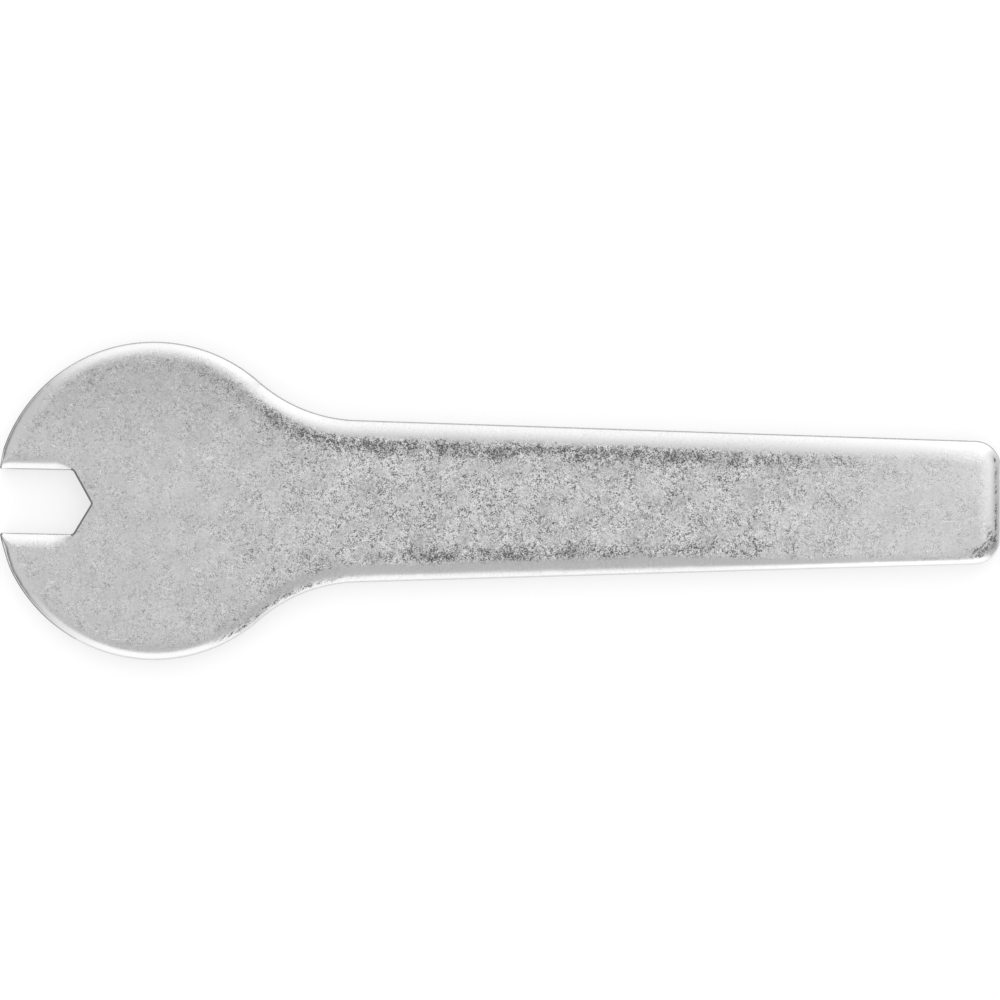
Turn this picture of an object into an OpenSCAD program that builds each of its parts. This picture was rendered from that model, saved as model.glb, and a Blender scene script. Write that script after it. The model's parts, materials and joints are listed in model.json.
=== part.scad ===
// Flat open-end wrench, stamped in one piece from steel sheet.
// The origin is on the axis of the nut, in the plane of the back face.
// +X runs from the nut along the handle, and +Z points out of the rolled face.

/* [Jaw] */
// Width of the nut across its flats
jaw_af = 8; // [5.5:0.1:12]
// Turn of the jaw against the handle, anticlockwise seen from above
jaw_turn = -1; // [-15:0.1:15]
// Width of the rolled-over edge along the two flats of the jaw
jaw_roll_w = 0.9; // [0.4:0.1:1.5]
// Depth of the rolled-over edge along the two flats of the jaw
jaw_roll_d = 0.35; // [0.1:0.05:0.8]

/* [Head] */
// Diameter of the round head
head_d = 40; // [34:0.2:50]
// Distance from the nut's axis to the head's centre, along the handle
head_set = 12.6; // [9:0.1:15]
// Distance from the nut's axis to the handle's midline, sideways
head_shift = 0.15; // [-1:0.05:1]

/* [Handle] */
// Length of the whole wrench, from the tips of the jaw to the end of the handle
wrench_l = 126; // [100:0.5:180]
// Width of the handle where its two edges, drawn on, pass the head's centre
root_w = 22; // [16:0.1:26]
// Width of the handle where its two edges, drawn on, pass its end
end_w = 15.3; // [11:0.1:22]
// Radius of the hollow curve from the head into the handle
neck_r = 19.4; // [8:0.1:40]
// Radius of the two corners at the handle's end
end_corner_r = 3.3; // [2.5:0.1:5]

/* [Sheet] */
// Thickness of the steel sheet
sheet_t = 4; // [3:0.1:6]
// Width of the rolled-over edge round the outside, across the face
rim_roll_w = 2.4; // [1:0.1:3]
// Depth of the rolled-over edge round the outside, down the wall
rim_roll_d = 0.9; // [0.4:0.05:1.4]

/* [Hidden] */
$fn = 128;

// Curves that run into each other cross by this much, so that every seam is a true crossing
bite = 0.02;
// Cuts reach this far past what they cut
over = 1;
steel = [0.74, 0.74, 0.73];

head_r = head_d / 2;

// Each kind of edge has its own roll, as [width, depth]
rim_roll = [rim_roll_w, rim_roll_d];
flat_roll = [jaw_roll_w, jaw_roll_d];
sharp = [0, 0];
// Radius of the arc of a roll, which lies flat with the face at its inner side
function roll_r(roll) = (roll.x ^ 2 + roll.y ^ 2) / (2 * roll.y);

// Tips of the jaw, end of the handle and slope of its edges, measured from the head's centre
tips_x = -sqrt(head_r ^ 2 - (jaw_af / 2) ^ 2);
end_x = tips_x + wrench_l;
taper = atan((root_w - end_w) / 2 / end_x);

// Centre of the neck's curve: s runs along the handle's upper edge and n stands square to it
edge_n = root_w / 2 * cos(taper);
neck_n = edge_n + neck_r - bite;
neck_s = sqrt((head_r + neck_r - bite) ^ 2 - neck_n ^ 2);
neck_x = neck_s * cos(taper) + neck_n * sin(taper);
neck_y = neck_n * cos(taper) - neck_s * sin(taper);
neck_turn = atan2(neck_y, neck_x);

// The web behind the neck reaches in to where the head and the handle both have their full thickness
full_n = edge_n - rim_roll_w;
full_s = sqrt((head_r - rim_roll_w) ^ 2 - full_n ^ 2);
web_depth = norm([neck_s - full_s, neck_n - full_n]) - neck_r + over;

// Centre of the round at the handle's upper end corner
corner_in = end_corner_r - bite;
corner_x = end_x - corner_in;
corner_y = root_w / 2 - corner_x * tan(taper) - corner_in / cos(taper);

// Section through an edge of the sheet: the wall stands at x = 0 and the steel lies to its right.
// The spare height carries the steel on past both faces, for shaping a cut.
module steel_section(depth, roll, spare = 0) {
  difference() {
    translate([0, -spare]) square([depth, sheet_t + 2 * spare]);
    if (roll != sharp)
      difference() {
        translate([-over, sheet_t - roll.y]) square([over + roll.x, roll.y + over + spare]);
        translate([roll.x, sheet_t - roll_r(roll)]) circle(r = roll_r(roll) + bite / 4);
      }
  }
}

// Section through what the punch takes away outside an edge, out to a reach from the wall
module waste_section(reach, roll) {
  difference() {
    translate([-reach, -over]) square([reach + roll.x + over, sheet_t + 2 * over]);
    steel_section(roll.x + 2 * over, roll, 2 * over);
  }
}

// Waste outside a straight edge that runs along Y, centred, with the steel on its +X side
module edge_waste(run, reach, roll) {
  translate([0, run / 2, 0]) rotate([90, 0, 0]) linear_extrude(height = run) waste_section(reach, roll);
}

// Waste outside the round at the handle's upper end corner
module end_corner_waste() {
  rotate_extrude(start = 0, angle = 90 - taper)
    intersection() {
      translate([end_corner_r, 0]) mirror([1, 0]) waste_section(end_corner_r, rim_roll);
      translate([0, -2 * over]) square([3 * end_corner_r, sheet_t + 4 * over]);
    }
}

// Round head, a disc with a rolled rim
module head() {
  rotate_extrude() translate([head_r, 0]) mirror([1, 0]) steel_section(head_r, rim_roll);
}

// Tapered handle, a strip of sheet trimmed along two long edges, the end and its corners
module handle() {
  strip_h = max(root_w, end_w) / 2 + over;
  difference() {
    translate([0, -strip_h, 0]) cube([end_x + over, 2 * strip_h, sheet_t]);
    for (side = [1, -1])
      rotate(-side * (90 + taper)) translate([-edge_n, 0, 0]) edge_waste(3 * wrench_l, strip_h, rim_roll);
    translate([end_x, 0, 0]) rotate(180) edge_waste(3 * strip_h, strip_h, rim_roll);
    for (side = [0, 1]) mirror([0, side, 0]) translate([corner_x, corner_y, 0]) end_corner_waste();
  }
}

// Hollow curve that blends the head into the upper edge of the handle
module neck_web() {
  translate([neck_x, neck_y, 0])
    rotate_extrude(start = 180 + neck_turn, angle = 90 - taper - neck_turn)
      translate([neck_r, 0]) steel_section(web_depth, rim_roll);
}

// Blank before the jaw is cut
module blank() {
  translate([head_set, head_shift, 0]) {
    head();
    handle();
    for (side = [0, 1]) mirror([0, side, 0]) neck_web();
  }
}

// One side of the jaw's hexagon, at a turn about the nut: the waste on the nut's side of its wall
module jaw_side(turn, roll) {
  reach = head_d + over;
  rotate(turn) translate([jaw_af / 2, 0, 0]) edge_waste(2 * reach, reach, roll);
}

// Space of the jaw: what its two rolled flats and the two sharp sides of the seat have in common
module jaw_space() {
  intersection() {
    intersection_for(side = [1, -1]) jaw_side(90 * side, flat_roll);
    intersection_for(side = [1, -1]) jaw_side(30 * side, sharp);
  }
}

module wrench_body() {
  color(steel)
    difference() {
      blank();
      rotate(jaw_turn) jaw_space();
    }
}

wrench_body();
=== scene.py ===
"""The looks of a flat stamped open-end wrench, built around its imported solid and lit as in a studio."""

import json
import math

import bpy
import numpy as np
from bpy.props import FloatProperty, FloatVectorProperty, PointerProperty
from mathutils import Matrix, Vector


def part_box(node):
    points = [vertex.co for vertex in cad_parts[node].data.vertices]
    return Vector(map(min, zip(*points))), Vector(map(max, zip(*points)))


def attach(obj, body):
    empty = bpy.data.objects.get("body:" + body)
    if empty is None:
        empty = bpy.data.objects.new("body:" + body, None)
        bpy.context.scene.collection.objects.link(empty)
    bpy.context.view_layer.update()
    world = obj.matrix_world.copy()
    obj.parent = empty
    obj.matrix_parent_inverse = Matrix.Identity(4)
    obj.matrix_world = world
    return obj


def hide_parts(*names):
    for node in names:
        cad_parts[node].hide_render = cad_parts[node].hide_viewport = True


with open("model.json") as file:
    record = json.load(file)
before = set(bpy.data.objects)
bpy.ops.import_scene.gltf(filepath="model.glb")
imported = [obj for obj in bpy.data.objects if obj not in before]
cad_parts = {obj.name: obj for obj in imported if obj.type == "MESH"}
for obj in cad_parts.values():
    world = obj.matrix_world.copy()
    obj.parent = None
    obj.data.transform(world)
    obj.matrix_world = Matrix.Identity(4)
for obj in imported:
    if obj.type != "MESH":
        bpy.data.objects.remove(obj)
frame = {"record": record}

bl_info = {
    "name": "Flat Stamped Wrench",
    "version": (1, 0, 0),
    "blender": (4, 5, 0),
    "location": "3D View > Sidebar > Wrench",
    "description": "Builds a flat stamped open-end wrench in tumbled zinc plate, and a pale studio for it",
    "category": "Add Mesh",
}

MM = 0.001
TURN = 2 * math.pi
WHITE = (1.0, 1.0, 1.0, 1.0)

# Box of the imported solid, before anything is added
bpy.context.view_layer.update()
LOW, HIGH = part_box("wrench_body")
MOUNTS = {mount["name"]: mount for mount in frame["record"]["mounts"]}


def length(name, description, default):
    """A size in metres."""
    return FloatProperty(name=name, description=description, default=default, unit="LENGTH", precision=5)


def share(name, description, default):
    """A number from 0 to 1."""
    return FloatProperty(name=name, description=description, default=default, min=0, max=1, subtype="FACTOR")


def colour(name, description, grey):
    """A linear colour, which is a grey to start with."""
    return FloatVectorProperty(
        name=name, description=description, default=(grey,) * 3, subtype="COLOR", min=0, max=1)


def level(name, description, default):
    """A strength, or a brightness at which 1 shows as white."""
    return FloatProperty(name=name, description=description, default=default, min=0)


class WrenchSizes(bpy.types.PropertyGroup):
    """Sizes of the wrench that its box and its mounts don't give."""

    head_set: length("Head set", "From the nut's axis to the head's centre, along the handle", 12.6 * MM)
    root_w: length("Root width", "Handle's width where its edges, drawn on, pass the head's centre", 22 * MM)
    end_w: length("End width", "Handle's width where its edges, drawn on, pass its end", 15.3 * MM)
    neck_r: length("Neck radius", "Hollow curve from the head into the handle", 19.4 * MM)
    end_r: length("End radius", "Corners at the handle's end", 3.3 * MM)
    tip_r: length("Tip radius", "Points of the jaw", 0.28 * MM)
    tip_wear: length("Tip wear", "How far the points of the jaw are worn back", 0.24 * MM)
    seat_r: length("Seat radius", "Corners between the jaw's flats and its seat", 0.4 * MM)
    apex_r: length("Apex radius", "Bottom of the seat", 0.25 * MM)
    rim_w: length("Rim roll width", "Rolled-over edge round the outside, across the face", 2.45 * MM)
    rim_d: length("Rim roll depth", "Rolled-over edge round the outside, down the wall", 1.15 * MM)
    rim_nose: length("Rim nose", "Radius where the roll turns down into the wall", 0.6 * MM)
    flat_w: length("Flat roll width", "Rolled-over edge on the jaw's flats, across the face", 2.2 * MM)
    flat_d: length("Flat roll depth", "Rolled-over edge on the jaw's flats, down the wall", 0.95 * MM)
    flat_nose: length("Flat nose", "Radius where a flat's roll turns down into the wall", 0.2 * MM)
    flat_run: length("Flat roll run-out", "Stretch by the seat in which a flat's roll dies away", 2.2 * MM)
    top_gap: length("Upper seat gap", "Room between the nut and the upper side of the seat", 0.10 * MM)
    low_gap: length("Lower seat gap", "Room between the nut and the lower side of the seat", 0.22 * MM)
    seat_nose: length("Seat edge", "Radius of the sharp edge round the seat", 0.3 * MM)
    shear: share("Sheared part", "Share of the wall's height above the line where it starts to tear", 0.48)
    breakout: length("Breakout", "How far the torn lower part of the wall draws in", 0.14 * MM)
    tear: length("Tear", "How rough the torn lower part of the wall is", 0.022 * MM)
    back_r: length("Back edge", "Radius of the tumbled edge round the back", 0.14 * MM)


class WrenchFinish(bpy.types.PropertyGroup):
    """Colours and grain of the plated steel."""

    zinc: colour("Zinc", "Plate on the face, where the grain is at its mean", 0.68)
    pit: colour("Pit", "Dull bottom of the grain's pits", 0.14)
    bright: colour("Bright grain", "Burnished tops of the grain", 0.95)
    sheared: colour("Sheared wall", "Steel on the sheared wall", 0.50)
    torn: colour("Torn wall", "Steel on the torn lower part of the wall", 0.24)
    grain: length("Grain", "Size of the tumbled grain", 0.15 * MM)
    contrast: level("Grain contrast", "How strongly the grain changes the plate's tone", 2.15)
    pitting: level("Pitting", "How much more strongly the grain darkens the plate than it brightens it", 1.0)
    head_grain: share("Head grain", "Strength of the grain on the head, against the handle's middle", 0.39)
    end_grain: share("End grain", "Strength of the grain at the handle's end, against its middle", 0.33)
    dull_grain: share("Dull grain", "Strength of the grain that a dulled place adds", 0.6)
    clouds: share("Clouds", "Strength of slow changes in the plate's tone", 0.52)
    scratch: share("Scratches", "How much a scratch brightens the plate's tone", 0.35)
    # How far the band darkens the plate is partly painted shade; for the scuffs it is wear
    shade_and_dulling: share("Dulling", "How much a dulled place darkens the plate's tone", 0.48)
    grain_depth: length("Grain depth", "Depth of the tumbled grain", 0.018 * MM)
    streak_depth: length("Streak depth", "Depth of the streaks and of the tear on the wall", 0.02 * MM)
    face_rough: share("Face roughness", "Roughness of the plate on the face", 0.30)
    roll_rough: share("Roll roughness", "Roughness of the burnished roll", 0.22)
    wall_rough: share("Wall roughness", "Roughness of the sheared wall", 0.36)
    torn_rough: share("Tear roughness", "Roughness of the torn wall", 0.6)


class StudioSettings(bpy.types.PropertyGroup):
    """Camera, light and floor."""

    field_w: length("Field", "Width of the picture at the field's depth", 125.6 * MM)
    field_d: length("Field depth", "Depth below the face at which the field is measured", 1 * MM)
    camera_h: length("Camera height", "From the field's depth up to the camera", 0.70)
    centre_x: length("Picture centre X", "Middle of the picture along the handle", 56.09 * MM)
    centre_y: length("Picture centre Y", "Middle of the picture across the handle", 0.345 * MM)
    camera_turn: FloatProperty(
        name="Camera turn", description="Turn of the picture about the line of sight",
        default=math.radians(0.12), subtype="ANGLE")
    floor_w: length("Floor width", "Side of the square floor", 8.0)
    floor_gap: length("Floor gap", "Room between the floor and the wrench's back", 0.02 * MM)
    floor: colour("Floor", "Pale floor", 0.46)
    floor_lift: level("Floor lift", "Glow that brings the floor to white where it is seen", 0.63)
    overhead: level("Overhead", "Brightness straight overhead", 0.69)
    far: level("Far light", "Brightness that the far side adds, low down", 0.77)
    near: level("Near light", "Brightness that the near side adds, low down", 0.78)
    corner: level("Corner light", "Brightness that the far right adds", 0.42)
    left: level("Left light", "Brightness that the left adds", 0.17)
    right_gap: level("Right gap", "Brightness missing on the right, low down", 0.40)
    left_gap: level("Left gap", "Brightness missing on the left, low down", 0.72)


def direction(angle):
    """Unit vectors at angles, as an array with x and y last."""
    return np.stack([np.cos(angle), np.sin(angle)], -1)


def heading(vector):
    """Angle of a vector in the plane."""
    return math.atan2(vector[1], vector[0])


def smooth(low, high, value):
    """S-curve from 0 at low to 1 at high: 3t^2 - 2t^3, with t held between 0 and 1."""
    t = np.clip((value - low) / (high - low), 0, 1)
    return t * t * (3 - 2 * t)


def ease(value, start, end, first, last):
    """S-curve from first, at the start and before it, to last, at the end and after it."""
    return first + (last - first) * smooth(start, end, value)


def bell(offset, width):
    """Bell curve: 1 in the middle, and 1/e at an offset of the width."""
    return np.exp(-(offset / width) ** 2)


class Jaw:
    """The jaw's frame: half its width across flats, its turn, and distances along and across it."""

    def __init__(self):
        """Take the jaw's two flats from the mounts."""
        upper, lower = (np.array(MOUNTS["jaw_flat_" + side]["pos_m"][:2]) for side in ("upper", "lower"))
        outward = np.array(MOUNTS["jaw_flat_upper"]["axis"][:2])
        self.half = float(np.dot(lower - upper, outward)) / 2
        self.turn = heading(outward) + TURN / 4

    def along(self, points):
        """Distance from the nut's axis along the jaw, growing towards the seat."""
        return points @ direction(self.turn)

    def across(self, points):
        """Distance from the nut's axis across the jaw, growing towards the upper flat."""
        return points @ direction(self.turn + TURN / 4)


class Outline:
    """The wrench seen from above, as a belt of arcs joined by straight stretches, anticlockwise.

    A point of an arc is centre + radius * direction(a), where a is the way that the edge faces. The radius
    is positive where the outline bulges and negative where it is hollow, so a runs on without a jump from
    the end of each arc to the start of the next.
    """

    # Each arc owns the straight stretch that follows it
    names = ("low_tip", "low_head", "low_neck", "low_end", "top_end", "top_neck",
             "top_head", "top_tip", "top_corner", "apex", "low_corner")
    fewest_on_arc = 8
    # A gap between arcs that is shorter than this share of a step gets no straight stretch
    least_stretch = 0.1

    def __init__(self, sizes, jaw, step):
        """Lay out the arcs and sample them a step apart."""
        self.jaw = jaw
        self.head = np.array([sizes.head_set, (LOW.y + HIGH.y) / 2])
        self.head_r = (HIGH.y - LOW.y) / 2
        self.sample(self.arcs(sizes), step)

    def line(self, facing, point):
        """A straight edge, as the way it faces and its distance from the origin that way."""
        return facing, float(np.dot(direction(facing), point))

    def corner(self, one, two, radius):
        """Centre of the arc that touches two straight edges: it lies the radius behind both of them."""
        facing = direction(np.array([one[0], two[0]]))
        return np.linalg.solve(facing, np.array([one[1], two[1]]) - radius)

    def blend(self, edge, radius, way):
        """Centre of the arc that touches the head's circle and a straight edge, on the +X or -X side."""
        behind = direction(edge[0])
        depth = edge[1] - radius - behind @ self.head
        run = math.sqrt((self.head_r - radius) ** 2 - depth ** 2)
        along = np.array([behind[1], -behind[0]])
        return self.head + depth * behind + run * way * math.copysign(1, along[0]) * along

    def arcs(self, sizes):
        """Each arc's centre, its signed radius and the way it faces at its end, in the order of names."""
        slope = math.atan2((sizes.root_w - sizes.end_w) / 2, HIGH.x - self.head[0])
        half_root = np.array([0, sizes.root_w / 2])
        low_edge = self.line(slope - TURN / 4, self.head - half_root)
        end = self.line(0, np.array([HIGH.x, 0]))
        top_edge = self.line(TURN / 4 - slope, self.head + half_root)
        # The jaw's four sides stand half its width and a gap from the nut's axis, a sixth of a turn apart
        gaps = (0, sizes.low_gap, sizes.top_gap, 0)
        turns = self.jaw.turn + TURN / 4 + np.arange(4) * TURN / 6
        low_flat, low_seat, top_seat, top_flat = zip(turns, -self.jaw.half - np.array(gaps))
        low_tip, top_tip = (self.blend(flat, sizes.tip_r, -1) for flat in (low_flat, top_flat))
        low_neck, top_neck = (self.blend(edge, -sizes.neck_r, 1) for edge in (low_edge, top_edge))
        return [
            (low_tip, sizes.tip_r, heading(low_tip - self.head)),
            (self.head, self.head_r, heading(low_neck - self.head)),
            (low_neck, -sizes.neck_r, low_edge[0]),
            (self.corner(low_edge, end, sizes.end_r), sizes.end_r, end[0]),
            (self.corner(end, top_edge, sizes.end_r), sizes.end_r, top_edge[0]),
            (top_neck, -sizes.neck_r, heading(top_neck - self.head)),
            (self.head, self.head_r, heading(top_tip - self.head)),
            (top_tip, sizes.tip_r, top_flat[0]),
            (self.corner(top_flat, top_seat, -sizes.seat_r), -sizes.seat_r, top_seat[0]),
            (self.corner(top_seat, low_seat, -sizes.apex_r), -sizes.apex_r, low_seat[0]),
            (self.corner(low_seat, low_flat, -sizes.seat_r), -sizes.seat_r, low_flat[0]),
        ]

    def sample(self, arcs, step):
        """Points a step apart on every arc and straight stretch, the way they face and what they lie on."""
        centres, radii, ends = (np.array(values) for values in zip(*arcs))
        turns = np.copysign((np.sign(radii) * (ends - np.roll(ends, 1))) % TURN, radii)
        bounds = ends[-1] + np.concatenate([[0], np.cumsum(turns)])
        leave = centres + radii[:, None] * direction(bounds[1:])
        arrive = np.roll(centres, -1, 0) + np.roll(radii, -1)[:, None] * direction(bounds[1:])
        gaps = np.linalg.norm(arrive - leave, axis=1)
        counts = np.maximum(self.fewest_on_arc, np.ceil(np.abs(radii * turns) / step)).astype(int)
        runs = np.where(gaps > self.least_stretch * step, np.ceil(gaps / step), 0).astype(int)
        points, facing, owner, straight = [], [], [], []
        for k, (count, run) in enumerate(zip(counts, runs)):
            angle = bounds[k] + turns[k] * np.arange(count) / count
            share_run = np.arange(run)[:, None] / max(run, 1)
            stretch = leave[k] + (arrive[k] - leave[k]) * share_run
            points += [centres[k] + radii[k] * direction(angle), stretch]
            facing += [angle, np.full(run, bounds[k + 1])]
            owner += [np.full(count + run, k)]
            straight += [np.zeros(count, bool), np.ones(run, bool)]
        self.points = np.concatenate(points)
        self.outward = direction(np.concatenate(facing))
        self.owner = np.concatenate(owner)
        self.straight = np.concatenate(straight)
        self.centre = centres[self.owner]
        self.radius = radii[self.owner]
        steps = np.linalg.norm(np.roll(self.points, -1, 0) - self.points, axis=1)
        reached = np.concatenate([[0], np.cumsum(steps)])
        self.run = reached[:-1]
        self.total = reached[-1]
        self.on_handle = self.on("low_neck", "low_end", "top_end", "top_neck")
        self.on_end_corner = self.on("low_end", "top_end") & ~self.straight
        self.on_seat = self.on("top_corner", "apex") | (self.on("low_corner") & ~self.straight)
        self.on_jaw = self.on_seat | (self.on("top_tip", "low_corner") & self.straight)
        tips = [self.run[self.on(tip) & ~self.straight].mean() for tip in ("low_tip", "top_tip")]
        # Way along the outline past each tip, negative before it, and distance from the nearer tip
        self.past_tips = (self.run[:, None] - tips + self.total / 2) % self.total - self.total / 2
        self.from_tips = np.abs(self.past_tips).min(1)

    def on(self, *names):
        """Which points lie on the named arcs or on the straight stretches that these own."""
        return np.isin(self.owner, [self.names.index(name) for name in names])

    def fan(self, skip, reach):
        """Place and facing of the edge behind which each row ends.

        A row ends square behind its own start, but within reach of a tip of the jaw it ends further from the
        tip, by a skip that shrinks to nothing at the reach, so that rows fan out there and never cross.
        """
        past = self.past_tips
        slide = np.where(past < 0, -1, 1) * skip * np.clip(1 - np.abs(past) / reach, 0, 1)
        there = self.run + slide.sum(1)
        return (
            np.stack([np.interp(there, self.run, values[:, k], period=self.total) for k in (0, 1)], -1)
            for values in (self.points, self.outward))

    def inset(self, points):
        """Distance of each point of the rows from the arc or straight edge that its row starts from."""
        on_line = -np.sum((points - self.points) * self.outward, -1)
        on_arc = self.radius - np.sign(self.radius) * np.linalg.norm(points - self.centre, axis=-1)
        return np.where(self.straight, on_line, on_arc)


def roll_drop(inset, width, depth, nose):
    """How far the face has dropped at an inset from the edge, under a roll of two arcs.

    A large arc leaves the face level at the roll's width, and a small one of the nose's radius turns it
    straight down at the edge, at the roll's depth. The arcs touch, which fixes the large radius.
    """
    large = ((width - nose) ** 2 + depth ** 2 - nose ** 2) / (2 * (depth - nose))
    meet = width - large * (width - nose) / (large - nose)
    inner = np.clip(width - inset, 0, width)
    gentle = large - np.sqrt(large ** 2 - inner ** 2)
    steep = depth - np.sqrt(np.maximum(nose ** 2 - (nose - np.clip(inset, 0, nose)) ** 2, 0))
    return np.where(inset > meet, gentle, steep)


class Skin:
    """Points of the wrench's surface, in rows along the outline, from the face over the roll to the back."""

    # Distance between the points of a row at the edge, and the seed of the uneven rim, nicks and tear
    step = 0.28 * MM
    seed = 8
    # Rows on the face behind the rim, on the rim, down the wall and round the back's edge
    inner_rows = 5
    rim_rows = 17
    wall_rows = 11
    edge_rows = 4
    # Insets of the last rows, flat in the back, from its edge
    back_insets = (0.15 * MM, 0.4 * MM)
    # How far in the rim's rows reach, in widths of the roll, and the power that crowds them at the edge
    rim_reach = 1.27
    crowding = 1.8
    # Near a tip, rows fan out over this stretch, and end away from the tip by up to this many reaches
    fan_stretch = 8 * MM
    fan_skip = 1.6
    # Least distance that the inner rows go on behind the rim's rows, and what is added in open places
    inner_least = 0.12 * MM
    inner_more = 2.0 * MM

    def __init__(self, sizes):
        """Work out the outline, then the face, then the wall."""
        self.sizes = sizes
        self.jaw = Jaw()
        self.outline = Outline(sizes, self.jaw, self.step)
        self.random = np.random.default_rng(self.seed)
        self.make_face()
        self.make_wall()

    def wander(self, waves, size):
        """Uneven line along the outline: a sum of sines that close on themselves, with random phases."""
        count = np.arange(1, waves + 1)[:, None]
        phase = self.random.uniform(0, TURN, (waves, 1))
        height = self.random.normal(0, 1, (waves, 1))
        run = self.outline.run / self.outline.total
        return size * (height * np.sin(TURN * count * run + phase)).sum(0) / math.sqrt(waves / 2)

    def nicks(self, count, inset):
        """Small dents in the rim at random places, each a bell along the edge and across it."""
        reach = 0.5 * MM
        place = self.random.uniform(0, self.outline.total, (count, 1))
        width = self.random.uniform(0.15, 0.4, (count, 1)) * MM
        depth = self.random.uniform(0.02, 0.07, (count, 1)) * MM
        return (depth * bell(self.outline.run - place, width)).sum(0) * bell(inset, reach)

    def face_places(self):
        """Places of the face rows in the plane, from the innermost to the edge.

        A rim row lies a share of the way from the edge to the rim's reach. The share is a power of the row's
        number, so that rows crowd at the nose. The inner rows go on in even steps, far along the open rim,
        and hardly in the jaw, near its tips and near the handle's end.
        """
        o = self.outline
        to_end = HIGH.x - o.points[:, 0]
        is_open = np.where(o.on_jaw | o.on_end_corner, 0, smooth(6 * MM, 12 * MM, to_end))
        is_open = is_open * smooth(8 * MM, 14 * MM, o.from_tips)
        reach = self.rim_reach * self.sizes.rim_w
        foot, facing = o.fan(self.fan_skip * reach, self.fan_stretch)
        further = np.arange(self.inner_rows, 0, -1)[:, None, None] / self.inner_rows
        inner = foot - (reach + further * (self.inner_least + self.inner_more * is_open[:, None])) * facing
        share_in = np.linspace(1, 0, self.rim_rows)[:, None, None] ** self.crowding
        rim = o.points + share_in * (foot - reach * facing - o.points)
        return np.concatenate([inner, rim])

    def make_face(self):
        """Face rows with their heights, and how far each point is rolled, darkened by the band and scuffed;
        the band is partly painted shade.

        A point's height is the face less the rolls of all edges near it, added as the root of their squares,
        which lets two rolls run into each other at a tip, and less the nicks.
        """
        o = self.outline
        nick_count = 60
        places = self.face_places()
        to_head = o.head_r - np.linalg.norm(places - o.head, axis=-1)
        to_rim = np.maximum(np.where(o.on_handle, o.inset(places), to_head), 0)
        to_flat = np.abs(self.jaw.across(places)) - self.jaw.half
        rim_drop, rim_share = self.rim_roll(to_rim, to_flat)
        flat_drop, flat_share = self.flat_roll(places, to_flat)
        drop = np.sqrt(rim_drop ** 2 + flat_drop ** 2 + self.seat_edge(places) ** 2)
        drop = drop + np.where(o.on_jaw, 0, self.nicks(nick_count, to_rim))
        self.top = np.concatenate([places, (HIGH.z - drop)[..., None]], -1)
        self.roll = np.clip(np.maximum(rim_share, flat_share), 0, 1)
        self.band = self.shaded_dull_band(places, to_rim)
        self.scuff = self.scuffs(places, to_rim)
        # The innermost row bounds the middle of the face, which has neither
        self.band[0] = 0
        self.scuff[0] = 0

    def in_mm(self, places):
        """Distances of places along the handle, and across it from its midline, in millimetres."""
        return places[..., 0] / MM, (places[..., 1] - self.outline.head[1]) / MM

    def rim_roll(self, to_rim, to_flat):
        """Drop under the rim's roll, and its share: 1 at the edge, and 0 where the face is level.

        The roll's width is uneven and leans by a share that changes along the outline. Along the lower edge
        the roll gets faint, narrower and shallower, towards the end. It also shrinks beside the jaw's flats.
        """
        s, o = self.sizes, self.outline
        x, y = self.in_mm(o.points)
        uneven = self.wander(40, 0.012)
        before_end = smooth(2.5, 7, HIGH.x / MM - x)
        faint = np.where(y > 0, 0, smooth(72, 98, x)) * before_end
        upper = ease(x, 28, 42, -0.10, 0) + ease(x, 56, 106, 0, 0.12)
        lower = ease(x, 16, 30, -0.15, 0) + ease(x, 50, 70, 0, 0.08) - 0.47 * faint
        at_end = ease(y, -6.5, -2, -0.10, 0.25)
        lean = at_end + (np.where(y > 0, upper, lower) - at_end) * before_end
        clear = np.where(o.on_handle, 1, smooth(0, 2.4 * MM, to_flat))
        width = s.rim_w * (1 + lean + uneven) * (0.4 + 0.6 * clear)
        depth = s.rim_d * (1 - 0.22 * faint) * (0.55 + 0.45 * clear)
        nose = s.rim_nose * (0.4 + 0.6 * clear)
        return roll_drop(to_rim, width, depth, nose), 1 - to_rim / width

    def flat_roll(self, places, to_flat):
        """Drop under the rolls of the jaw's flats, and their share, as for the rim.

        A roll grows from almost nothing at the seat to its full size at the end of its run-out.
        """
        s = self.sizes
        least, power, behind_seat = 0.02, 0.6, 1 * MM
        seat = self.jaw.half / math.sqrt(3)
        along = self.jaw.along(places)
        grown = np.clip((seat - along) / s.flat_run, least, 1) ** power
        strength = 1 - smooth(seat, seat + behind_seat, along)
        # Points of the flats themselves count, though rounding may put them a hair past the flat
        near = ~self.outline.on_handle & (to_flat > -1e-9)
        drop = roll_drop(np.maximum(to_flat, 0), grown * s.flat_w, grown * s.flat_d, grown * s.flat_nose)
        in_roll = 1 - to_flat / (grown * s.flat_w)
        return np.where(near, strength * drop, 0), np.where(near, strength * in_roll, 0)

    def seat_edge(self, places):
        """Drop over the jaw's sharp edge: a roll hardly larger than its nose that dies away at the tips."""
        nose, o = self.sizes.seat_nose, self.outline
        strength = np.where(o.on_jaw, smooth(0, 1.5 * MM, o.from_tips), 0)
        return strength * roll_drop(np.maximum(o.inset(places), 0), 1.01 * nose, 1.005 * nose, nose)

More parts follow.
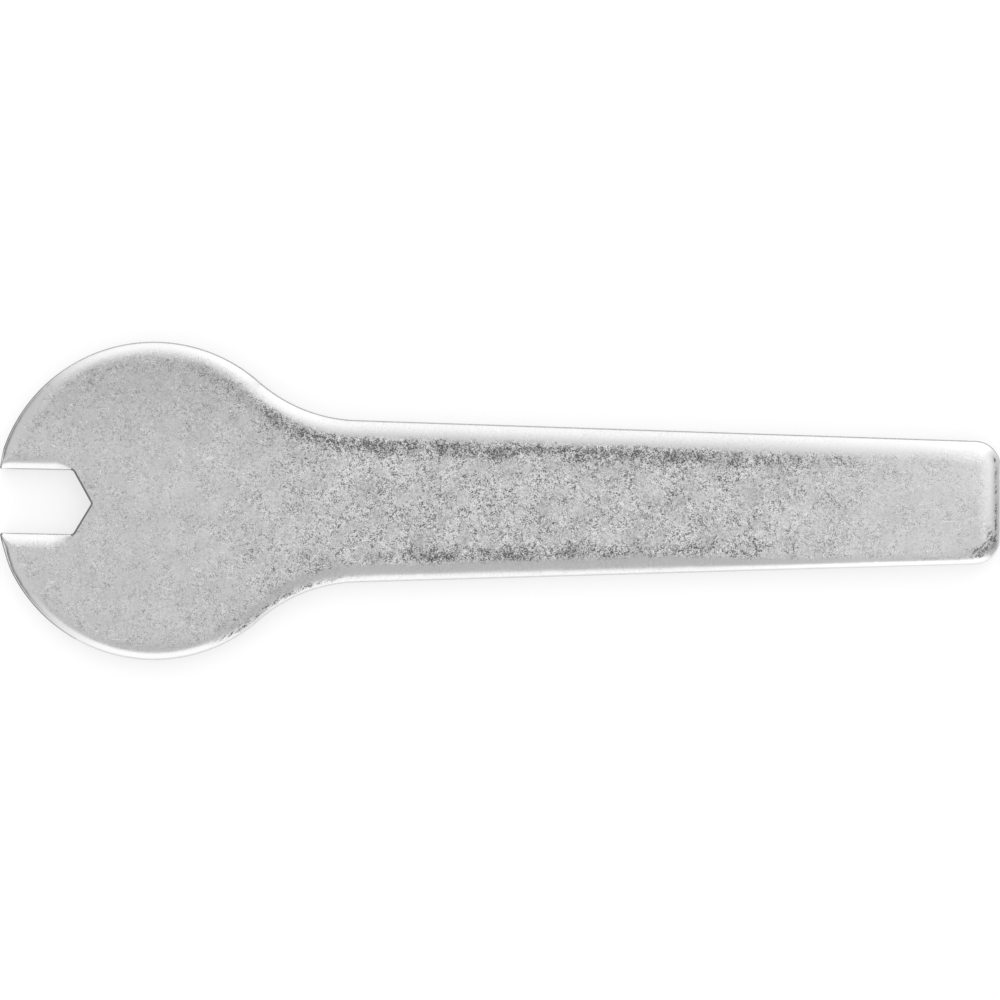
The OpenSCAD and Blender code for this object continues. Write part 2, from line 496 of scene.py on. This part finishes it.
    def shaded_dull_band(self, places, to_rim):
        """Darker band beside the roll, from 0 to 1, with its numbers in millimetres.

        Across the edge it is a bell that is wider on the side of the face. Along the handle the upper and
        the lower band rise and fade in their own places. It darkens the plate partly as painted shade and
        partly as denser grain.
        """
        x, y = self.in_mm(places)
        middle = np.where(y > 0, ease(x, 30, 42, 2.7, 3.05), 2.8)
        off = to_rim / MM - middle
        upper = ease(x, 14, 40, 0.05, 0.92) * ease(x, 74, 112, 1, 0)
        lower = ease(x, 34, 52, 0, 0.80) * ease(x, 64, 76, 1, 0.4) * ease(x, 80, 106, 1, 0)
        across = bell(off, np.where(off > 0, 1.05, 0.55))
        return across * np.where(y > 0, upper, lower) * ~self.outline.on_jaw

    def scuffs(self, places, to_rim):
        """Scuffed places on the roll, from 0 to 1, with their numbers in millimetres.

        They are bells across the edge: a patch at the lower end corner, a thin line that leads up to it, a
        line along the handle's end, and a line with a faint wider patch on the lower neck.
        """
        x, y = self.in_mm(places)
        inward = to_rim / MM
        end = HIGH.x / MM
        off = inward - 1.6
        corner = 1.4 * bell(np.hypot(x - 117.2, y + 5.6), 2.2) * bell(off, np.where(off > 0, 0.35, 0.65))
        lead = 0.45 * smooth(102, 115, x) * (y < -4) * bell(inward - 0.85, 0.2)
        faces_end = smooth(0.78, 0.95, self.outline.outward[:, 0]) * smooth(end - 4, end - 3, x)
        end_line = 0.9 * faces_end * bell(inward - 0.68, 0.14)
        neck = smooth(19, 23, x) * ease(x, 30, 40, 1, 0) * (y < 0)
        patch = 0.12 * smooth(0.25, 0.6, inward) * ease(inward, 2, 3, 1, 0)
        neck_line = 0.8 * bell(inward - 0.62, 0.25)
        return np.clip(corner + lead + end_line + neck * (patch + neck_line), 0, 1) * (inward < 4)

    def make_wall(self):
        """Wall rows from the roll's nose to the back, and how far each point is torn.

        The upper part is sheared straight down. Below an uneven line the steel is torn, draws in by the
        breakout and is rough. The lowest rows are a quarter round, and the last ones lie flat in the back.
        All insets shrink at the tips of the jaw.
        """
        s, o = self.sizes, self.outline
        start = self.top[-1, :, 2]
        bottom = LOW.z + s.back_r
        share_down = np.arange(1, self.wall_rows + 1)[:, None] / self.wall_rows
        height = start + (bottom - start) * share_down
        line = s.shear + self.wander(180, 0.045)
        torn = smooth(line - 0.12, line + 0.3, share_down)
        rough = self.random.normal(0, 1, height.shape)
        rough = (rough + np.roll(rough, 1, 1) + np.roll(rough, -1, 1)) / 3
        room = np.clip(0.05 + 0.45 * o.from_tips / MM, 0, 1)
        inset = np.maximum(torn * (s.breakout + s.tear * rough), 0) * room

        angle = TURN / 4 * np.arange(1, self.edge_rows + 1)[:, None] / self.edge_rows
        round_in = inset[-1] + s.back_r * (1 - np.cos(angle)) * room
        round_z = np.broadcast_to(LOW.z + s.back_r * (1 - np.sin(angle)), round_in.shape)
        flat_in = round_in[-1] + np.array(self.back_insets)[:, None] * room
        flat_z = np.full(flat_in.shape, LOW.z)
        inset = np.concatenate([inset, round_in, flat_in])
        height = np.concatenate([height, round_z, flat_z])
        places = o.points - inset[..., None] * o.outward
        self.wall = np.concatenate([places, height[..., None]], -1)
        self.torn = np.concatenate([torn, np.ones_like(round_z), np.zeros_like(flat_z)])

    def wear(self, grid):
        """How far wear moves points along the handle: fully at a tip, and over more of the lower one."""
        reach = np.where(grid[..., 1] > 0, 0.8 * MM, 2 * MM)
        return self.sizes.tip_wear * smooth(LOW.x + reach, LOW.x, grid[..., 0])

    def mesh(self, name):
        """The rows as one closed mesh: quads between rows, and one flat face in the middle of each side."""
        grid = np.concatenate([self.top, self.wall])
        grid[..., 0] += self.wear(grid)
        rows, count = grid.shape[:2]
        number = np.arange(rows * count).reshape(rows, count)
        beside = np.roll(number, -1, 1)
        quads = np.stack([number[:-1], number[1:], beside[1:], beside[:-1]], -1).reshape(-1, 4)
        loops = np.concatenate([quads.ravel(), number[0], number[-1, ::-1]])
        starts = np.concatenate([np.arange(len(quads)) * 4, [quads.size, quads.size + count]])
        totals = np.concatenate([np.full(len(quads), 4), [count, count]])

        mesh = bpy.data.meshes.new(name)
        mesh.vertices.add(rows * count)
        mesh.vertices.foreach_set("co", grid.astype(np.float32).ravel())
        mesh.loops.add(len(loops))
        mesh.loops.foreach_set("vertex_index", loops.astype(np.int32))
        mesh.polygons.add(len(starts))
        mesh.polygons.foreach_set("loop_start", starts.astype(np.int32))
        mesh.polygons.foreach_set("loop_total", totals.astype(np.int32))
        mesh.polygons.foreach_set("material_index", self.material_index(rows, count))
        mesh.update(calc_edges=True)
        mesh.validate()
        mesh.shade_smooth()

        # The steel that shows on the face takes the tear's colour at the seat; on the head's far left that
        # colour is painted shade
        o = self.outline
        painted_shade_left = smooth(0.5, 0.75, -o.outward[:, 0]) * ~o.on_jaw
        torn_and_shade_face = np.broadcast_to(np.where(o.on_seat, 1.0, painted_shade_left), self.roll.shape)
        clean_wall = np.zeros_like(self.torn)
        for label, face, wall in (
            ("roll", self.roll, clean_wall),
            ("band", self.band, clean_wall),
            ("scuff", self.scuff, clean_wall),
            ("torn", torn_and_shade_face, self.torn),
        ):
            layer = mesh.attributes.new(label, "FLOAT", "POINT")
            layer.data.foreach_set("value", np.concatenate([face, wall]).astype(np.float32).ravel())
        self.unwrap(mesh, grid, loops)
        return mesh

    def material_index(self, rows, count):
        """0 for each face in plate, and 1 for each in the wall's bare steel.

        The steel begins some rows in from the edge, most at the seat, which is sheared and not rolled, and
        it ends where the back lies flat. On the rolled nose away from the seat, its darker colour is a thin
        line of painted shade along the edge, and it reaches further in on the upper and left sides for that
        shade.
        """
        o = self.outline
        # Sides where the steel reaches further onto the nose, as painted shade
        painted_shade_sides = (o.outward[:, 1] > 0) | (o.outward[:, 0] < -0.5)
        rows_in = np.select([o.on_seat, o.on_jaw, painted_shade_sides], [5, 1, 4], 2)
        row = np.arange(rows - 1)[:, None]
        is_wall = (row >= len(self.top) - rows_in) & (row < rows - 1 - len(self.back_insets))
        return np.concatenate([is_wall.ravel(), [0, 0]]).astype(np.int32)

    def unwrap(self, mesh, grid, loops):
        """UV map in metres: the run along the outline, and the depth below the face."""
        run = np.broadcast_to(self.outline.run, grid.shape[:2])
        pairs = np.stack([run, HIGH.z - grid[..., 2]], -1).reshape(-1, 2)
        layer = mesh.uv_layers.new(name="run_and_depth")
        layer.data.foreach_set("uv", pairs[loops].astype(np.float32).ravel())


class Tree:
    """A node tree, with short ways to add nodes to it and to join them."""

    def __init__(self, tree):
        """Keep the tree that the nodes go into."""
        self.tree = tree

    def feed(self, node, key, value):
        """Link a socket to a node's input, or set the input to a plain value."""
        if isinstance(value, bpy.types.NodeSocket):
            self.tree.links.new(value, node.inputs[key])
        else:
            node.inputs[key].default_value = value

    def add(self, kind, values=None, **settings):
        """A node of a kind, with its settings made and its inputs fed."""
        node = self.tree.nodes.new(kind)
        for name, value in settings.items():
            setattr(node, name, value)
        for key, value in (values or {}).items():
            self.feed(node, key, value)
        return node

    def math(self, operation, one, two, clamp=False):
        """Result of an operation on two values."""
        return self.add("ShaderNodeMath", {0: one, 1: two}, operation=operation, use_clamp=clamp).outputs[0]

    def plus(self, one, two, clamp=False):
        """Sum of two values."""
        return self.math("ADD", one, two, clamp)

    def minus(self, one, two, clamp=False):
        """Difference of two values."""
        return self.math("SUBTRACT", one, two, clamp)

    def times(self, one, two, clamp=False):
        """Product of two values."""
        return self.math("MULTIPLY", one, two, clamp)

    def ramp(self, value, low, high, to_low=0.0, to_high=1.0):
        """A value carried smoothly from one range to another, held at both ends."""
        values = {"Value": value, "From Min": low, "From Max": high, "To Min": to_low, "To Max": to_high}
        return self.add("ShaderNodeMapRange", values, interpolation_type="SMOOTHSTEP").outputs["Result"]

    def mix(self, share_b, a, b):
        """Colour between a and b, which go into a mix node's sockets 6 and 7."""
        return self.add("ShaderNodeMix", {0: share_b, 6: a, 7: b}, data_type="RGBA").outputs[2]

    def noise(self, vector, size, detail=2.0, roughness=0.5):
        """Noise about 0.5, with features of a size."""
        values = {"Vector": vector, "Scale": 1 / size, "Detail": detail, "Roughness": roughness}
        return self.add("ShaderNodeTexNoise", values).outputs[0]

    def mapping(self, vector, **values):
        """Coordinates turned, moved or scaled."""
        return self.add("ShaderNodeMapping", {"Vector": vector, **values}).outputs[0]

    def attribute(self, name):
        """A number kept on the mesh's vertices."""
        return self.add("ShaderNodeAttribute", attribute_name=name).outputs["Fac"]

    def place(self):
        """Object coordinates."""
        return self.add("ShaderNodeTexCoord").outputs["Object"]

    def group(self, group, vector):
        """Outputs of a node group placed in this tree."""
        return self.add("ShaderNodeGroup", {"Vector": vector}, node_tree=group).outputs

    def bump(self, shader, height, depth):
        """Relief of a height, in depths, on a shader's normal."""
        node = self.add("ShaderNodeBump", {"Height": height, "Distance": depth, "Strength": 1.0})
        self.feed(shader, "Normal", node.outputs["Normal"])


def new_group(name, *outputs):
    """A node group from coordinates to numbers: its tree, its coordinates and its end node."""
    group = bpy.data.node_groups.new(name, "ShaderNodeTree")
    group.interface.new_socket("Vector", in_out="INPUT", socket_type="NodeSocketVector")
    for label in outputs:
        group.interface.new_socket(label, in_out="OUTPUT", socket_type="NodeSocketFloat")
    tree = Tree(group)
    return tree, tree.add("NodeGroupInput").outputs["Vector"], tree.add("NodeGroupOutput")


def grain_group(size):
    """Tumbled grain, as a height about 0 and as a tone.

    The height is the weighted mean of a fine and a coarse noise, less 0.5. The tone is the height times a
    strength that changes slowly from patch to patch.
    """
    tree, place, made = new_group("tumbled_grain", "Height", "Tone")
    fine = tree.noise(place, size, 1.0, 0.6)
    coarse = tree.noise(place, 2.8 * size, 2.0, 0.55)
    patch = tree.noise(place, 12 * size, 3.0, 0.6)
    fine_share = 0.64
    dents = tree.plus(tree.times(fine, fine_share), tree.times(coarse, 1 - fine_share))
    dents = tree.minus(dents, 0.5)
    strength = tree.ramp(patch, 0.36, 0.60, 0.45, 1.30)
    tree.feed(made, "Height", dents)
    tree.feed(made, "Tone", tree.times(dents, strength))
    return tree.tree


def scratch_group():
    """Handling scratches: thin lines in three directions, broken into short strokes, and small specks."""
    tree, place, made = new_group("handling_scratches", "Scratches")
    scratches = tree.ramp(tree.noise(place, 0.34 * MM, 0.0), 0.74, 0.84, 0.0, 0.7)
    # Angle of the lines, their length and their width in millimetres
    for angle, long, fine in ((0.03, 1.3, 0.06), (0.85, 1.0, 0.055), (-0.5, 0.9, 0.055)):
        turned = tree.mapping(place, Rotation=(0, 0, angle), Location=(angle, 0, 0))
        drawn = tree.mapping(turned, Scale=(fine / long, 1, 1))
        line = tree.ramp(tree.noise(drawn, fine * MM * 2.2, 0.0), 0.72, 0.79)
        stroke = tree.ramp(tree.noise(turned, long * MM * 1.5, 1.0), 0.57, 0.68)
        scratches = tree.math("MAXIMUM", scratches, tree.times(line, stroke))
    tree.feed(made, "Scratches", scratches)
    return tree.tree


def new_material(name, values):
    """A material with values on its shader's own sockets: the material, its tree and the shader."""
    material = bpy.data.materials.new(name)
    material.use_nodes = True
    material.node_tree.nodes.clear()
    tree = Tree(material.node_tree)
    shader = tree.add("ShaderNodeBsdfPrincipled", values)
    tree.add("ShaderNodeOutputMaterial", {"Surface": shader.outputs["BSDF"]})
    return material, tree, shader


def opaque(rgb):
    """A colour with full alpha."""
    return (*rgb, 1.0)


def tone_with_painted_light(tree, finish, roll, plain, along, across):
    """Tone of the plate without grain, where 0 is the bottom of a pit and 1 a bright grain.

    It starts from the zinc's own tone. As painted light, the handle's end is lighter, its upper corner most,
    and so is the head a little. As painted shade, the upper side is darker, most on the head. As painted
    light, the roll of the lower edge is lighter towards the end.
    """
    zinc = (finish.zinc[0] - finish.pit[0]) / (finish.bright[0] - finish.pit[0])
    # Painted light: lighter towards the handle's end than in its middle, and a little lighter on the head
    tone = tree.ramp(along, 84 * MM, 114 * MM, zinc - 0.02, zinc + 0.05)
    tone = tree.plus(tone, tree.ramp(along, 50 * MM, 20 * MM, 0.0, 0.025))
    # Painted shade: darker on the upper side, most on the head, and not on the burnished roll
    tone = tree.minus(tone, tree.times(tree.ramp(across, 5 * MM, 15 * MM, 0.0, 0.12), plain))
    # Painted light on the roll of the lower edge, towards the handle's end
    low_edge = tree.times(tree.ramp(along, 80 * MM, 104 * MM), tree.ramp(across, -3 * MM, -6 * MM))
    tone = tree.plus(tone, tree.times(low_edge, tree.ramp(roll, 0.0, 0.3, 0.0, 0.07)))
    # Painted light at the handle's far upper corner
    corner = tree.times(tree.ramp(along, 107 * MM, 118 * MM), tree.ramp(across, -1 * MM, 7 * MM, 0.0, 0.10))
    return tree.plus(tone, corner)


def tumbled_zinc(finish, grain, scratches):
    """Zinc plate over a tumbled face.

    The colour lies between the bottom of a pit and a bright grain. The grain moves it both ways, most in the
    middle of the handle and hardly on the burnished roll. The band, which is partly painted shade, and the
    scuffs go towards the pit, and scratches towards the bright grain.
    """
    material, tree, shader = new_material("tumbled_zinc", {"Metallic": 1.0})
    place = tree.place()
    where = tree.add("ShaderNodeSeparateXYZ", {0: place}).outputs
    along, across = where["X"], where["Y"]
    roll, band, rubbed = (tree.attribute(name) for name in ("roll", "band", "scuff"))
    worn = tree.minus(tree.noise(place, 6 * MM), 0.5)

    # Scuffs break into slanting strokes, and the band into blotches
    slanted = tree.mapping(tree.mapping(place, Rotation=(0, 0, -0.8)), Scale=(0.28, 1, 1))
    strokes = tree.ramp(tree.noise(slanted, 0.3 * MM, 2.0, 0.6), 0.38, 0.62, 0.3, 1.4)
    scuff = tree.times(rubbed, strokes, clamp=True)
    blotches = tree.ramp(tree.noise(place, 2.4 * MM), 0.38, 0.60, 0.5, 1.15)
    dull_and_shade = tree.plus(tree.times(band, blotches), scuff, clamp=True)

    # The burnish of the roll sets in more slowly on the head and at the handle's end
    head_soft = tree.ramp(along, 36 * MM, 20 * MM, 0.3, 0.8)
    end_soft = tree.ramp(along, 98 * MM, 112 * MM, 0.0, 0.35)
    uneven_roll = tree.plus(roll, tree.times(worn, 0.25))
    burnish = tree.ramp(uneven_roll, 0.02, tree.plus(head_soft, end_soft))
    burnish = tree.times(burnish, tree.minus(1.0, scuff))
    plain = tree.minus(1.0, tree.times(burnish, 0.9))

    # In the band and the scuffs the grain is even, and elsewhere it is patchy
    speckle = tree.group(grain, place)
    even = tree.minus(tree.times(speckle["Height"], 1.2), speckle["Tone"])
    dents = tree.plus(speckle["Tone"], tree.times(even, dull_and_shade))
    pits = tree.times(tree.math("MINIMUM", dents, 0.0), finish.pitting)
    dents = tree.times(tree.plus(dents, pits), finish.contrast)
    from_head = tree.ramp(along, 12 * MM, 42 * MM, finish.head_grain, 1.0)
    to_end = tree.ramp(along, 80 * MM, 116 * MM, 1.0, finish.end_grain)
    strength = tree.times(tree.times(from_head, to_end), plain)
    strength = tree.plus(strength, tree.times(dull_and_shade, finish.dull_grain))
    clouds = tree.times(tree.minus(tree.noise(place, 3.2 * MM, 4.0), 0.5), finish.clouds)
    lines = tree.times(tree.group(scratches, place)["Scratches"], plain)

    tone = tone_with_painted_light(tree, finish, roll, plain, along, across)
    tone = tree.plus(tone, tree.times(tree.plus(dents, clouds), strength))
    tone = tree.plus(tone, tree.times(lines, finish.scratch))
    # The band darkens the plate partly as painted shade, and the scuffs darken it as wear
    tone = tree.minus(tone, tree.times(dull_and_shade, finish.shade_and_dulling), clamp=True)
    tree.feed(shader, "Base Color", tree.mix(tone, opaque(finish.pit), opaque(finish.bright)))

    rough = tree.ramp(burnish, 0.0, 1.0, finish.face_rough, finish.roll_rough)
    rough = tree.plus(rough, tree.times(worn, 0.12))
    tree.feed(shader, "Roughness", tree.plus(rough, tree.times(dull_and_shade, 0.1)))
    relief = tree.times(speckle["Height"], tree.ramp(burnish, 0.0, 1.0, 1.0, 0.12))
    tree.bump(shader, relief, finish.grain_depth)
    return material


def sheared_steel(finish, grain, scratches):
    """Steel on the wall: streaked down by the punch in its upper part, torn, dark and rough in its lower
    part.
    """
    material, tree, shader = new_material("sheared_steel", {"Metallic": 1.0})
    place = tree.place()
    sheet = tree.add("ShaderNodeUVMap", uv_map="run_and_depth").outputs["UV"]
    # The torn share is the real tear on the wall, and painted shade on the nose of the head's far left
    torn = tree.attribute("torn")
    streaks = tree.noise(tree.mapping(sheet, Scale=(1, 0.06, 1)), 0.12 * MM)
    speckle = tree.group(grain, place)
    lines = tree.times(tree.group(scratches, place)["Scratches"], 0.6)
    shaded = opaque([0.8 * value for value in finish.sheared])
    steel = tree.mix(tree.ramp(streaks, 0.35, 0.65), shaded, opaque(finish.sheared))
    dull_and_shade = tree.mix(torn, steel, opaque(finish.torn))
    tree.feed(shader, "Base Color", tree.mix(lines, dull_and_shade, opaque(finish.zinc)))
    tree.feed(shader, "Roughness", tree.ramp(torn, 0.0, 1.0, finish.wall_rough, finish.torn_rough))
    drawn = tree.times(streaks, tree.ramp(torn, 0.0, 1.0, 1.0, 0.3))
    ragged = tree.times(speckle["Height"], tree.times(torn, 3.0))
    tree.bump(shader, tree.plus(drawn, ragged), finish.streak_depth)
    return material


class WRENCH_OT_body(bpy.types.Operator):
    """Build the wrench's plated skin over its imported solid"""

    bl_idname = "wrench.body"
    bl_label = "Wrench Body"

    def execute(self, context):
        """Make the skin, dress it in plate and bare steel, and let it stand for the solid."""
        sizes, finish = context.scene.wrench_sizes, context.scene.wrench_finish
        body = bpy.data.objects.new("wrench_skin", Skin(sizes).mesh("wrench_skin"))
        context.scene.collection.objects.link(body)
        grain, scratches = grain_group(finish.grain), scratch_group()
        body.data.materials.append(tumbled_zinc(finish, grain, scratches))
        body.data.materials.append(sheared_steel(finish, grain, scratches))
        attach(body, "root")
        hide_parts("wrench_body")
        return {"FINISHED"}


class WRENCH_OT_studio(bpy.types.Operator):
    """Build the camera, the light of the room and the floor"""

    bl_idname = "wrench.studio"
    bl_label = "Studio"

    def execute(self, context):
        """Make the camera, the room and the floor, and show colours as they are."""
        studio = context.scene.wrench_studio
        self.camera(context, studio)
        self.room(context, studio)
        self.floor(context, studio)
        context.scene.view_settings.view_transform = "Standard"
        return {"FINISHED"}

    def camera(self, context, studio):
        """A long lens that looks straight down on the face."""
        data = bpy.data.cameras.new("camera")
        data.lens = data.sensor_width * studio.camera_h / studio.field_w
        data.clip_start = 10 * MM
        data.clip_end = 50
        camera = bpy.data.objects.new("camera", data)
        camera.location = (studio.centre_x, studio.centre_y, HIGH.z - studio.field_d + studio.camera_h)
        camera.rotation_euler = (0, 0, studio.camera_turn)
        context.scene.collection.objects.link(camera)
        context.scene.camera = camera

    def room(self, context, studio):
        """A studio of soft light, as a brightness for each direction, and plain white for the camera.

        It is even overhead. Each light or dark gap then makes a change, which grows with the angle from
        straight up, and which fades as the heading turns away from the middle of the light or gap.
        """
        world = bpy.data.worlds.new("room")
        world.use_nodes = True
        world.node_tree.nodes.clear()
        tree = Tree(world.node_tree)
        ray = tree.add("ShaderNodeTexCoord").outputs["Generated"]
        way = tree.add("ShaderNodeSeparateXYZ", {0: ray}).outputs
        level_way = tree.add("ShaderNodeCombineXYZ", {"X": way["X"], "Y": way["Y"]}).outputs[0]
        sideways = tree.add("ShaderNodeVectorMath", {0: level_way}, operation="LENGTH").outputs["Value"]
        from_up = tree.math("ARCTAN2", sideways, way["Z"])
        turned = tree.add("ShaderNodeVectorMath", {0: level_way}, operation="NORMALIZE").outputs["Vector"]
        glow = studio.overhead
        # Change, heading, cosines of the turn away from it where the change starts and is full, and angles
        # from straight up where it does so
        for change, toward, edge, full, high, low in (
            (studio.far, 90, 0.60, 0.97, -6, 62),
            (studio.near, 270, 0.50, 0.97, 47, 53),
            (studio.corner, 22, 0.45, 1.00, -2, 19),
            (studio.left, 180, 0.60, 1.00, 0, 18),
            (-studio.right_gap, 0, 0.65, 1.00, 34, 47),
            (-studio.left_gap, 180, 0.60, 1.00, 66, 80),
        ):
            middle = (*direction(math.radians(toward)), 0)
            cosine = tree.add("ShaderNodeVectorMath", {0: turned, 1: middle}, operation="DOT_PRODUCT")
            fade = tree.ramp(cosine.outputs["Value"], edge, full)
            rise = tree.ramp(from_up, math.radians(high), math.radians(low), 0.0, change)
            glow = tree.plus(glow, tree.times(fade, rise))
        seen = tree.add("ShaderNodeLightPath").outputs["Is Camera Ray"]
        shown = tree.ramp(seen, 0.0, 1.0, glow, 1.0)
        light = tree.add("ShaderNodeBackground", {"Color": WHITE, "Strength": shown})
        tree.add("ShaderNodeOutputWorld", {"Surface": light.outputs[0]})
        context.scene.world = world

    def floor(self, context, studio):
        """A pale square, lifted to white where it is seen straight, in a reflection or through glass."""
        half = studio.floor_w / 2
        height = LOW.z - studio.floor_gap
        corners = [(x * half, y * half, height) for x, y in ((-1, -1), (1, -1), (1, 1), (-1, 1))]
        mesh = bpy.data.meshes.new("floor")
        mesh.from_pydata(corners, [], [range(4)])
        floor = bpy.data.objects.new("floor", mesh)
        context.scene.collection.objects.link(floor)
        values = {"Base Color": opaque(studio.floor), "Roughness": 0.9, "Specular IOR Level": 0.1}
        material, tree, shader = new_material("pale_floor", {**values, "Emission Color": WHITE})
        ray = tree.add("ShaderNodeLightPath").outputs
        seen = tree.math("MAXIMUM", ray["Is Glossy Ray"], ray["Is Transmission Ray"])
        seen = tree.math("MAXIMUM", ray["Is Camera Ray"], seen)
        tree.feed(shader, "Emission Strength", tree.times(seen, studio.floor_lift))
        floor.data.materials.append(material)


class WRENCH_PT_panel(bpy.types.Panel):
    """Sizes, finish and studio, with the buttons that build them"""

    bl_idname = "WRENCH_PT_panel"
    bl_label = "Flat Stamped Wrench"
    bl_space_type = "VIEW_3D"
    bl_region_type = "UI"
    bl_category = "Wrench"

    def draw(self, context):
        """List every setting, a box for each group, and then the buttons."""
        for group in (context.scene.wrench_sizes, context.scene.wrench_finish, context.scene.wrench_studio):
            box = self.layout.box()
            for name in group.__annotations__:
                box.prop(group, name)
        for operator in (WRENCH_OT_studio, WRENCH_OT_body):
            self.layout.operator(operator.bl_idname)


CLASSES = (WrenchSizes, WrenchFinish, StudioSettings, WRENCH_OT_body, WRENCH_OT_studio, WRENCH_PT_panel)


def register():
    """Register the classes, and give each scene its settings."""
    for item in CLASSES:
        bpy.utils.register_class(item)
    bpy.types.Scene.wrench_sizes = PointerProperty(type=WrenchSizes)
    bpy.types.Scene.wrench_finish = PointerProperty(type=WrenchFinish)
    bpy.types.Scene.wrench_studio = PointerProperty(type=StudioSettings)


def unregister():
    """Take the settings and the classes away again."""
    del bpy.types.Scene.wrench_studio
    del bpy.types.Scene.wrench_finish
    del bpy.types.Scene.wrench_sizes
    for item in reversed(CLASSES):
        bpy.utils.unregister_class(item)


def main():
    """Register, and build everything in order."""
    register()
    bpy.ops.wrench.studio()
    bpy.ops.wrench.body()


if __name__ == "__main__":
    main()
